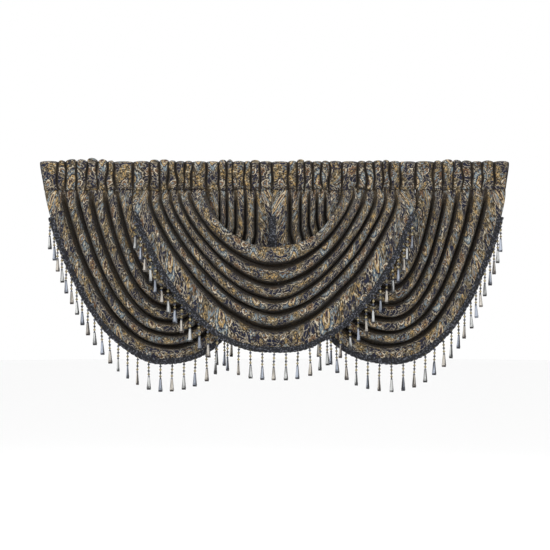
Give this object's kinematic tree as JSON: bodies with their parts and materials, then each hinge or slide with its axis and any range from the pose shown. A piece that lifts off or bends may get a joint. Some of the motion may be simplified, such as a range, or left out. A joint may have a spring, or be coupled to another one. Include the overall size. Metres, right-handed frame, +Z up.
{
  "type": "waterfall valance set",
  "caption": "Interleaved waterfall valances: jacquard cloth in deep swag folds between gathered rod pockets, with braid and crystal bead drops on the hems.",
  "frame": {"origin": "middle of the top edge of the gathered headings, at mount top_edge", "axes": "+X along the rod to the viewer's right, +Y to the wall behind, +Z up"},
  "size_m": [1.7799, 0.121, 0.8854],
  "materials": {
    "jacquard": "woven jacquard with a paisley pattern in tan, slate blue, navy and rust",
    "braid": "charcoal braid with faceted beads and crystal drops"
  },
  "bodies": {
    "root": {"pocket_left_outer": "jacquard", "pocket_middle_left": "jacquard", "pocket_left_inner": "jacquard", "pocket_right_inner": "jacquard", "pocket_middle_right": "jacquard", "pocket_right_outer": "jacquard", "cloth_left": "jacquard", "cloth_middle": "jacquard", "cloth_right": "jacquard", "trim_left": "braid", "trim_middle": "braid", "trim_right": "braid"}
  },
  "joints": []
}
